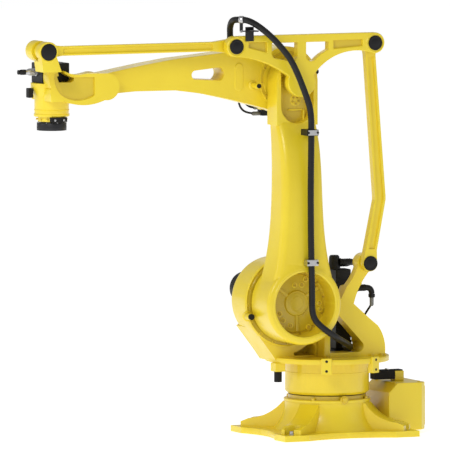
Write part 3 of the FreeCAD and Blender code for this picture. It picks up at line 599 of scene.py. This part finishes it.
def make_box_details():
    """Screws of the junction box's panel and lid and of the stop block, and the two connectors' shells."""
    low_panel, high_panel = low("box_panel"), high("box_panel")
    inset = 0.012
    places = [(low_panel.x, y, z) for y in (low_panel.y + inset, 0, high_panel.y - inset)
              for z in (low_panel.z + inset, high_panel.z - inset)]
    screws("panel_screws", places, (-1, 0, 0), 0.006, 0.003, "screw_yellow", "base")
    margin, rim = 0.008, 0.004
    for name, node, finish in (("power_shell", "power_connector", "silver_metal"),
                               ("signal_shell", "signal_connector", "black_plastic")):
        lowest, highest = low(node), high(node)
        face = lowest.x
        shell = ((face - 0.0005, lowest.y + margin, lowest.z + margin),
                 (face + 0.003, highest.y - margin, highest.z - margin))
        boxes(name, [shell], finish, "base", 0.001)
        places = [(face + 0.006, y, z) for y in (lowest.y + rim, highest.y - rim)
                  for z in (lowest.z + rim, highest.z - rim)]
        screws(name + "_screws", places, (-1, 0, 0), 0.003, 0.002, "silver_metal", "base")
    top = high("junction_box").z
    places = [(x, y, top) for x in (-0.42, -0.29) for y in (-0.10, 0.10)]
    screws("box_lid_screws", places, (0, 0, 1), 0.006, 0.004, "screw_yellow", "base")
    places = [(-0.305, y, high("stop_block").z) for y in (-0.012, 0.012)]
    screws("stop_block_screws", places, (0, 0, 1), 0.006, 0.004, "silver_metal", "base")


# ---------------------------------------------------------------- carriage

def make_table_details():
    """Lugs with two holes each, shown as thin dark discs of painted shade, the screws of the table's rim and
    the drum's raised line.
    """
    rim_low, rim_high, reach = 0.343, 0.366, 0.286
    half_width, drop = 0.024, 0.044
    hole = [(0.0060, 0), (0.0064, 0.0008), (0.0060, 0.0012), (0, 0.0012)]
    lugs, hole_shades = bmesh.new(), bmesh.new()
    for angle in (65, 115, 245, 295):
        turn = Matrix.Rotation(math.radians(angle), 4, "Z")
        made = add_box(lugs, (reach - 0.020, -half_width, rim_low - drop),
                       (reach - 0.002, half_width, rim_low + 0.002))
        made += add_box(lugs, (reach - 0.004, -half_width, rim_low - drop),
                        (reach + 0.010, half_width, rim_high + 0.008))
        for vert in made:
            vert.co = turn @ vert.co
        # Each hole is a thin black disc on the lug's face: painted shade in place of a real hole.
        for level in (rim_low - 0.028, rim_high - 0.006):
            add_lathe(hole_shades, hole, turn @ Vector((reach + 0.0095, 0, level)), turn.to_3x3() @ AXES["X"], 24)
    dress(round_edges(keep("table_lugs", lugs), 0.004), "yellow_paint", "carriage")
    dress(keep("table_lug_hole_shade", hole_shades), "black_plastic", "carriage")
    line = [(0.1935, -0.003), (0.1958, -0.002), (0.1958, 0.002), (0.1935, 0.003)]
    lathe("drum_line", line, (0, 0, 0.292), (0, 0, 1), "yellow_paint", "carriage", steps=96)
    places = ring_places((0, 0, rim_high), (0, 0, 1), 0.268, 9, start=150, arc=210)
    screws("table_screws", places, (0, 0, 1), 0.008, 0.009, "screw_yellow", "carriage")


def make_housing_details():
    """The shoulder housing's ring of screws in its channel, the channel's floor in painted shade, its rim,
    and the foot of the shoulder stop.
    """
    face = high("shoulder_ring").y
    centre = (SHOULDER.x, face - 0.003, SHOULDER.z)
    places = ring_places(centre, (0, 1, 0), 0.1965, 16, start=3)
    ringed_screws("housing_screws", places, (0, 1, 0), 0.0050, 0.0060, "yellow_paint", "carriage")
    # The channel's thin floor is painted shade: darker yellow where the groove holds shade.
    lathe("housing_channel", [(0.1860, 0.0), (0.1860, 0.0008), (0.2010, 0.0008), (0.2010, 0.0)], centre,
          (0, 1, 0), "painted_shade_dark", "carriage", steps=128)
    lathe("housing_rim", [(0.2008, 0.0), (0.2012, 0.0036), (0.2030, 0.0044), (0.2046, 0.0036), (0.2060, 0.0)],
          centre, (0, 1, 0), "yellow_paint", "carriage", steps=128)
    stop = (low("shoulder_stop") + high("shoulder_stop")) / 2
    lathe("shoulder_stop_foot", [(0.024, 0), (0.024, 0.003), (0.017, 0.010)], (stop.x, face - 0.003, stop.z),
          (0, 1, 0), "yellow_paint", "carriage")


def make_motor_details(name, node, axis, half, reach, body):
    """A square servo motor's lid screws and its raised cooling bands."""
    lowest, highest = low(node), high(node)
    way = AXES[axis[-1]] * (-1 if axis[0] == "-" else 1)
    index = "XYZ".index(axis[-1])
    end = (lowest + highest) / 2
    end[index] = lowest[index] if axis[0] == "-" else highest[index]
    corner, depth, count = half * 0.78, 0.0035, 7
    across = [AXES[letter] for letter in "XYZ" if letter != axis[-1]]
    places = [end + across[0] * corner * first + across[1] * corner * second
              for first in (-1, 1) for second in (-1, 1)]
    screws(name + "_lid_screws", places, way, half * 0.085, half * 0.02, "silver_metal", body)
    bands = bmesh.new()
    for step in range(count):
        back = end - way * (0.022 + reach * step / count)
        first = back - across[0] * (half + depth) - across[1] * half * 0.82
        second = back - way * (reach / count * 0.55) + across[0] * (half + depth) + across[1] * half * 0.82
        add_box(bands, [min(pair) for pair in zip(first, second)], [max(pair) for pair in zip(first, second)])
    dress(round_edges(keep(name + "_bands", bands), 0.0012, 2), "black_motor", body)


def make_turn_motor():
    """The turn motor: a ribbed square body on its foot, below its narrower encoder."""
    lowest, highest = low("turn_motor"), high("turn_motor")
    foot_high, step = lowest.z + 0.018, highest.z - 0.064
    front, inset = lowest.x + 0.112, 0.018
    plug_low, plug_high = low("turn_motor_plug"), high("turn_motor_plug")
    pieces = [(lowest, Vector((front, highest.y, foot_high))),
              (Vector((lowest.x + inset, lowest.y + inset, foot_high)),
               Vector((front - inset, highest.y - inset, step)))]
    body = boxes("turn_servo_body", pieces, "black_motor", "carriage", 0.006)
    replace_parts(body, "turn_motor")
    proud, pitch = 0.002, 0.026
    bands = [(Vector((lowest.x + inset - proud, lowest.y + inset + 0.006, foot_high + 0.03 + pitch * row)),
              Vector((front - inset + proud, highest.y - inset + proud, foot_high + 0.044 + pitch * row)))
             for row in range(12)]
    boxes("turn_servo_bands", bands, "black_motor", "carriage", 0.0012)
    encoder = [(0.0, 0.064), (0.018, 0.064), (0.0235, 0.058), (0.0245, 0.050), (0.0255, 0.014),
               (0.028, 0.010), (0.028, 0.0)]
    centre = (plug_high.x + 0.019, (plug_low.y + plug_high.y) / 2, step)
    lathe("turn_servo_encoder", encoder, centre, (0, 0, 1), "black_motor", "carriage")


def make_shoulder_motor():
    """The round shoulder motor behind its mounting flange."""
    face, end, flange = high("shoulder_motor").y, low("shoulder_motor").y, 0.022
    reach = face - end - flange
    plate = [(0, 0), (0.118, 0), (0.120, 0.003), (0.120, flange - 0.003), (0.118, flange), (0, flange)]
    lathe("shoulder_servo_flange", plate, (SHOULDER.x, face, SHOULDER.z), (0, -1, 0), "black_motor",
          "carriage")
    groove, rib = 0.070, 0.0755
    profile = [(groove, 0), (groove, 0.010)]
    for step in range(9):
        along = 0.014 + step * 0.016
        profile += [(groove, along), (rib, along + 0.002), (rib, along + 0.009), (groove, along + 0.011)]
    profile += [(0.072, reach - 0.050), (rib, reach - 0.046), (rib, reach - 0.010), (0.068, reach),
                (0, reach)]
    centre = (SHOULDER.x + 0.010, face - flange, SHOULDER.z + 0.030)
    case = lathe("shoulder_servo_case", profile, centre, (0, -1, 0), "black_motor", "carriage", steps=72)
    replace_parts(case, "shoulder_motor")


def connector(name, base, axis, radius, length, finish, body):
    """A round screwed connector: base ring, knurled sleeve, taper."""
    ridge = radius * 1.08
    profile = [(radius * 1.25, 0), (radius * 1.25, length * 0.10), (radius, length * 0.13)]
    for step in range(5):
        along = length * (0.18 + 0.10 * step)
        profile += [(radius, along), (ridge, along + length * 0.02), (ridge, along + length * 0.06),
                    (radius, along + length * 0.08)]
    profile += [(radius * 0.94, length * 0.74), (radius * 0.80, length * 0.80), (radius * 0.72, length),
                (0, length)]
    lathe(name, profile, base, axis, finish, body, steps=28)


def make_carriage_connectors():
    """Two barrels beside the turn motor's encoder, and the angled plug behind the bracket."""
    plug_low, plug_high = low("turn_motor_plug"), high("turn_motor_plug")
    middle = (plug_low + plug_high) / 2
    for number, across in enumerate((-0.004, 0.004)):
        base = (plug_high.x + 0.002, middle.y + across * 4, middle.z + across)
        connector(f"turn_connector_{number}", base, (-1, 0, 0), 0.0165 - 0.003 * number,
                  plug_high.x - plug_low.x, "black_plastic", "carriage")
    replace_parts(bpy.data.objects["turn_connector_0"], "turn_motor_plug")
    lowest, highest = low("bracket_plug"), high("bracket_plug")
    middle_y, barrel_z, drop_x = (lowest.y + highest.y) / 2, highest.z - 0.016, lowest.x + 0.016
    angle = [Vector((drop_x + 0.030, middle_y, barrel_z)), Vector((drop_x, middle_y, barrel_z)),
             Vector((drop_x, middle_y, barrel_z - 0.028))]
    bend = sweep("bracket_elbow_plug", angle, 0.0135, "black_plastic")
    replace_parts(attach(bend, "carriage"), "bracket_plug")
    connector("bracket_connector", (highest.x, middle_y, barrel_z), (-1, 0, 0), 0.0145, 0.070,
              "black_plastic", "carriage")
    lathe("bracket_plug_nut", [(0.0, 0.0), (0.0155, 0.0), (0.0155, 0.014), (0.012, 0.017), (0, 0.017)],
          (drop_x, middle_y, lowest.z + 0.018), (0, 0, -1), "black_plastic", "carriage", steps=10, smooth=20)


def make_bracket_details():
    """The boss's rim round the rear link's lower pivot, and the screws along the bracket's foot."""
    face = 0.136
    rim = [(0.0435, -0.004), (0.0435, -0.0015), (0.040, -0.0002), (0.0275, -0.0002), (0.0265, -0.003)]
    lathe("bracket_boss_rim", rim, (REAR_LOW.x, face, REAR_LOW.z), (0, 1, 0), "yellow_paint", "carriage")
    foot = [(x, 0.147, 0.366) for x in (-0.210, -0.160, 0.060)]
    screws("bracket_foot_screws", foot, (0, 0, 1), 0.008, 0.009, "screw_yellow", "carriage")


# ---------------------------------------------------------------- lower arm

def ringed_screws(name, places, axis, radius, height, finish, body):
    """Cap screws that each sit in a raised ring."""
    work, rings = bmesh.new(), bmesh.new()
    for place in places:
        add_screw(work, Vector(place), axis, radius, height)
        add_lathe(rings, [(radius * 1.15, 0), (radius * 1.22, height * 0.5), (radius * 1.62, height * 0.5),
                          (radius * 1.72, 0)], Vector(place), axis, 24)
    dress(keep(name, work, 30), "screw_yellow", body)
    dress(keep(name + "_rings", rings, 30), finish, body)


def make_shoulder_cover_details():
    """The cover in the shoulder's bell: hub and ribs in painted shade like the cover, clustered and rim
    screws, and the lip of the bell.
    """
    cover = high("shoulder_cover").y
    seat = 160
    hub = [(0.0, 0.0035), (0.030, 0.003), (0.032, 0.0015), (0.047, 0.0015), (0.050, 0.0), (0.0505, -0.004)]
    # The hub and ribs are painted shade, darker yellow as on the cover round them.
    lathe("cover_hub", hub, (SHOULDER.x, cover, SHOULDER.z), (0, 1, 0), "painted_shade_mid", "lower_arm", steps=72)
    ribs = bmesh.new()
    for angle in (38, 148, 268):
        turn = Matrix.Translation(SHOULDER) @ Matrix.Rotation(-math.radians(angle), 4, "Y")
        for vert in add_box(ribs, (0.054, 0.1595, -0.008), (0.130, 0.1690, 0.008)):
            vert.co = turn @ vert.co
    dress(round_edges(keep("cover_ribs", ribs), 0.003), "painted_shade_mid", "lower_arm")
    clusters = [(8, 83), (-28, 83), (-48, 109), (83, -47), (66, -77), (93, -90), (71, -109), (28, -102),
                (-118, -4), (-122, -32), (-63, -112)]
    ringed_screws("cover_screws", [near_point(SHOULDER, ahead, seat + 1, up) for ahead, up in clusters],
                  (0, 1, 0), 0.0078, 0.008, "cover_paint", "lower_arm")
    rim = ring_places((SHOULDER.x, 0.1505, SHOULDER.z), (0, 1, 0), 0.1435, 12, start=10)
    screws("cover_rim_screws", rim, (0, 1, 0), 0.0045, 0.005, "screw_yellow", "lower_arm")
    lathe("bell_lip", [(0.1505, -0.004), (0.1515, 0.0004), (0.1540, 0.0018), (0.1600, 0.0018), (0.1625, 0.0)],
          (SHOULDER.x, high("lower_arm").y, SHOULDER.z), (0, 1, 0), "yellow_paint", "lower_arm", steps=128)


def make_cup_details():
    """Inside the cup at the elbow: screw clusters round the hub, a rib and a ledge."""
    floor = 126
    for name, ahead, up, count, spread in (("cup_cluster_low", -12, -88, 5, 0.016),
                                           ("cup_cluster_front", 64, 14, 4, 0.013)):
        middle = near_point(ELBOW, ahead, floor, up)
        places = ring_places(middle, (0, 1, 0), spread, count, start=20)
        ringed_screws(name, places, (0, 1, 0), 0.0055, 0.006, "yellow_paint", "lower_arm")
        pad = [(0.0, 0.001), (spread + 0.010, 0.001), (spread + 0.012, 0.0)]
        lathe(name + "_pad", pad, middle, (0, 1, 0), "yellow_paint", "lower_arm")
    boxes("cup_rib", [(near_point(ELBOW, -53, floor - 1, -186), near_point(ELBOW, -44, floor + 16, -132)),
                      (near_point(ELBOW, -46, floor - 1, -136), near_point(ELBOW, 26, floor + 9, -128))],
          "yellow_paint", "lower_arm", 0.003)


# ---------------------------------------------------------------- forearm and linkage

def make_forearm_details():
    """The screwed band round the elbow with a floor of painted shade in its groove, the stop's foot and tip,
    a plug, and the gearbox's ring of lugs.
    """
    face, screw_seat = 0.060, 0.0022
    centre = (ELBOW.x, face, ELBOW.z)
    band = [(0.1130, 0.0), (0.1138, 0.0036), (0.1160, 0.0044), (0.1190, 0.0044), (0.1205, 0.0022),
            (0.1330, 0.0022), (0.1345, 0.0040), (0.1375, 0.0036), (0.1390, 0.0)]
    lathe("elbow_band", band, centre, (0, 1, 0), "yellow_paint", "forearm", steps=128)
    places = ring_places((ELBOW.x, face + screw_seat, ELBOW.z), (0, 1, 0), 0.1268, 12, start=2)
    ringed_screws("elbow_band_screws", places, (0, 1, 0), 0.0056, 0.0050, "yellow_paint", "forearm")
    # The groove's thin floor is painted shade, darker yellow.
    floor = [(0.1200, 0.0022), (0.1202, 0.0028), (0.1332, 0.0028), (0.1334, 0.0022)]
    lathe("elbow_band_shade", floor, centre, (0, 1, 0), "painted_shade_mid", "forearm", steps=128)
    stub = (ELBOW.x + 0.173, face, ELBOW.z - 0.018)
    foot = [(0.021, 0), (0.021, 0.003), (0.014, 0.010)]
    lathe("elbow_stub_foot", foot, stub, (0, 1, 0), "yellow_paint", "forearm")
    tip = [(0.0, 0.0085), (0.0085, 0.0080), (0.0100, 0.006), (0.0100, 0.0)]
    lathe("elbow_stub_tip", tip, (stub[0], 0.130, stub[2]), (0, 1, 0), "rubber", "forearm", steps=36)
    lathe("forearm_plug", [(0.0, 0.0008), (0.0050, 0.0012), (0.0062, 0.0)], near_point(ELBOW, 858, 60, 23),
          (0, 1, 0), "black_plastic", "forearm", steps=24)
    lug = [(0.0, -0.030), (0.010, -0.030), (0.010, 0.0), (0.0075, 0.001), (0.0075, 0.009), (0.0, 0.009)]
    gearbox = low("elbow_gearbox").y
    work = bmesh.new()
    for place in ring_places((ELBOW.x, gearbox + 0.0435, ELBOW.z), (0, -1, 0), 0.1455, 16):
        add_lathe(work, lug, place, (0, -1, 0), 20)
    dress(keep("elbow_gearbox_lugs", work, 30), "cover_paint", "forearm")


def shade_panel(name, outline, level, finish, body):
    """A thin floor of painted shade in a cast pocket, given as an (x, z) outline in metres facing +Y."""
    half = 0.0004
    work = bmesh.new()
    back = [work.verts.new((x, level - half, z)) for x, z in outline]
    front = [work.verts.new((x, level + half, z)) for x, z in outline]
    work.faces.new(front)
    work.faces.new(back[::-1])
    for spot in range(len(outline)):
        after = (spot + 1) % len(outline)
        work.faces.new([back[spot], back[after], front[after], front[spot]])
    return dress(keep(name, work), finish, body)


def outline_near(pivot, places):
    """An (x, z) outline given in millimetres from a pivot."""
    return [(pivot.x + ahead / 1000, pivot.z + up / 1000) for ahead, up in places]


def make_pocket_shade():
    """Thin floors in painted shade, darker yellow where the castings' pockets hold shade, which set the
    pockets off from their rims.
    """
    # Each panel is painted shade: a thin dark sheet where the pocket's shade falls.
    web = outline_near(FLANGE, [
        (-154, 229), (-154, 149), (-120, 136.5), (-90, 130), (-64, 127), (-30, 134), (-10, 142),
        (9, 153), (26, 175), (36, 204), (41, 230), (42, 248), (24, 256)])
    window = outline_near(FLANGE, [
        (20, 240), (29, 238), (19, 210), (-41, 209), (-54, 216), (-58, 231), (-100, 231)])
    shade_panel("wrist_web_shade", web + window, high("wrist_casting").y - 0.101, "painted_shade_mid", "wrist")
    plate = high("triangle_link").y - 0.0137
    for name, places in (("plate_shade_front", [(177, 143), (265, 167), (265, 191), (177, 189)]),
                         ("plate_shade_rear", [(-161, 151), (-161, 189), (-305, 189), (-305, 161)])):
        shade_panel(name, outline_near(ELBOW, places), plate, "painted_shade_mid", "triangle")
    radius = 81
    bowl = [(radius * math.cos(math.radians(angle)), -110 + radius * math.sin(math.radians(angle)))
            for angle in range(180, 361, 10)]
    cup = outline_near(ELBOW, bowl + [(radius, 98), (-radius, 98)])
    shade_panel("cup_shade", cup, 0.1262, "painted_shade_mid", "lower_arm")


def make_wrist_details():
    """The upper pin's cap, the motor's lead connector, the drum's lip, and screws at collar and stop."""
    cap = [(0.0, 0.0055), (0.034, 0.0050), (0.0375, 0.0035), (0.0385, 0.0)]
    lathe("wrist_cap", cap, (WRIST_HIGH.x, low("wrist_high_pin_cap").y, WRIST_HIGH.z), (0, 1, 0),
          "black_plastic", "wrist", steps=64)
    socket_low, socket_high = low("wrist_connector"), high("wrist_connector")
    middle = (socket_low + socket_high) / 2
    reach = socket_high.x - socket_low.x
    lead_z = middle.z - 0.016  # below the middle of its CAD node
    connector("wrist_lead_connector", (socket_low.x, middle.y, lead_z), (1, 0, 0), 0.0155, reach * 0.62,
              "silver_metal", "wrist")
    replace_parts(bpy.data.objects["wrist_lead_connector"], "wrist_connector")
    tip = [(0.0, 0.0), (0.0125, 0.0), (0.0125, 0.022), (0.0105, 0.025), (0.0105, 0.036), (0, 0.037)]
    lathe("wrist_lead_tip", tip, (socket_low.x + reach * 0.60, middle.y, lead_z), (1, 0, 0), "black_plastic",
          "wrist", steps=28)
    edge = low("wrist_casting").z
    lip = [(0.0785, 0.034), (0.0812, 0.032), (0.0812, 0.0285), (0.0785, 0.027), (0.0785, 0.014),
           (0.0822, 0.011), (0.0822, 0.004), (0.080, 0.002), (0.0785, 0.002)]
    lathe("wrist_drum_lip", lip, (FLANGE.x, 0, edge + 0.022), (0, 0, 1), "yellow_paint", "wrist", steps=96)
    collar = ring_places((FLANGE.x, 0, edge + 0.0135), (0, 0, -1), 0.070, 12, start=10)
    screws("wrist_collar_screws", collar, (0, 0, -1), 0.0045, 0.006, "screw_yellow", "wrist")
    block = (low("wrist_stop_block") + high("wrist_stop_block")) / 2
    places = [(block.x + way, high("wrist_stop_block").y, block.z - 0.002) for way in (-0.022, 0.022)]
    screws("wrist_stop_screws", places, (0, 1, 0), 0.005, 0.003, "silver_metal", "wrist")


def make_flange_details():
    """A raised line round the tool flange, and the ring of screws on its top."""
    flange_low, flange_high = low("tool_flange"), high("tool_flange")
    radius = (flange_high.x - flange_low.x) / 2
    middle = Vector((FLANGE.x, 0, flange_low.z))
    line = [(radius - 0.0005, 0.012), (radius + 0.0006, 0.013), (radius + 0.0006, 0.016),
            (radius - 0.0005, 0.017)]
    lathe("flange_groove", line, middle, (0, 0, 1), "black_steel", "flange", steps=96)
    heads = ring_places(middle + Vector((0, 0, flange_high.z - flange_low.z)), (0, 0, 1), 0.0645, 8)
    screws("flange_screws", heads, (0, 0, 1), 0.0028, 0.003, "silver_metal", "flange")


def make_link_details():
    """Turned faces on the triangle's two caps and the bracket pin, and rings on the three upper bosses."""
    cap = [(0.0, 0.0004), (0.020, 0.0004), (0.022, -0.0006), (0.024, 0.0004), (0.0315, 0.0),
           (0.0342, -0.002), (0.0342, -0.0048)]
    for name, node, pivot, body in (("rear_cap", "rear_pin_cap", REAR_HIGH, "triangle"),
                                    ("front_cap", "front_pin_cap", FRONT_HIGH, "triangle"),
                                    ("bracket_cap", "bracket_pin", REAR_LOW, "rear_link")):
        lathe(name, cap, (pivot.x, high(node).y, pivot.z), (0, 1, 0), "black_plastic", body, steps=64)
    boss_face = 0.228
    ring = [(0.0385, -0.0005), (0.0392, 0.0014), (0.0410, 0.0022), (0.0440, 0.0022), (0.0462, 0.0)]
    for name, pivot, body in (("rear_boss", REAR_HIGH, "triangle"), ("front_boss", FRONT_HIGH, "triangle"),
                              ("wrist_boss", WRIST_HIGH, "wrist")):
        lathe(name, ring, (pivot.x, boss_face, pivot.z), (0, 1, 0), "yellow_paint", body, steps=64)


# ---------------------------------------------------------------- finishes of the CAD castings

# Each shown CAD node's finish, and how far its edges are rounded, in metres. The bearing seal, the shoulder
# ring and the shoulder cover take the darker yellows, as painted shade.
CASTING_FINISH = {
    "base_casting": ("yellow_paint", 0.006), "carriage_casting": ("yellow_paint", 0.005),
    "link_bracket": ("yellow_paint", 0.005), "lower_arm": ("yellow_paint", 0.005),
    "rear_link": ("yellow_paint", 0.004), "triangle_link": ("yellow_paint", 0.004),
    "top_link": ("yellow_paint", 0.004), "forearm": ("yellow_paint", 0.006),
    "wrist_casting": ("yellow_paint", 0.004), "stop_post": ("yellow_paint", 0.003),
    "shoulder_stop": ("yellow_paint", 0.002), "junction_box": ("box_paint", 0.004),
    "box_panel": ("box_paint", 0.001), "shoulder_cover": ("painted_shade_mid", 0.002),
    "elbow_gearbox": ("cover_paint", 0.003), "turn_buffer_block": ("cover_paint", 0.002),
    "bearing_seal": ("painted_shade_dark", 0.0), "stop_block": ("rubber", 0.002),
    "shoulder_ring": ("painted_shade_dark", 0.0), "hose_bracket": ("black_steel", 0.001),
    "elbow_ring": ("cover_paint", 0.0), "tool_flange": ("black_steel", 0.0015),
    "hose_clamp_high": ("black_steel", 0.002), "hose_clamp_low": ("silver_metal", 0.002),
    "elbow_motor": ("black_motor", 0.004), "wrist_motor": ("black_motor", 0.004),
    "shoulder_motor_plug": ("black_plastic", 0.003), "elbow_motor_plug": ("black_plastic", 0.003),
    "wrist_signal_plug": ("black_plastic", 0.003), "signal_connector": ("black_plastic", 0.002),
    "power_connector": ("silver_metal", 0.002), "bracket_pin": ("black_plastic", 0.0),
    "rear_pin": ("silver_metal", 0.0), "front_pin": ("silver_metal", 0.0),
    "wrist_pin": ("silver_metal", 0.0), "wrist_high_pin": ("silver_metal", 0.0),
    "rear_pin_cap": ("black_plastic", 0.0015), "front_pin_cap": ("black_plastic", 0.0015),
    "wrist_high_pin_cap": ("black_plastic", 0.0015), "turn_buffer": ("rubber", 0.002),
    "shoulder_stop_tip": ("rubber", 0.002), "elbow_stop_tip": ("rubber", 0.002),
    "wrist_stop_block": ("rubber", 0.002),
}

make_camera()
make_studio()
for node_name, (finish_name, rounding) in CASTING_FINISH.items():
    soften(node_name, rounding, finish_name)
top_run = make_hoses()
make_cables()
make_hose_bands(top_run)
make_base_details()
make_box_details()
make_table_details()
make_housing_details()
make_turn_motor()
make_shoulder_motor()
make_motor_details("elbow_servo", "elbow_motor", "-Y", 0.078, 0.15, "forearm")
make_motor_details("wrist_servo", "wrist_motor", "+Z", 0.062, 0.04, "wrist")
make_carriage_connectors()
make_bracket_details()
make_shoulder_cover_details()
make_cup_details()
make_forearm_details()
make_pocket_shade()
make_wrist_details()
make_flange_details()
make_link_details()
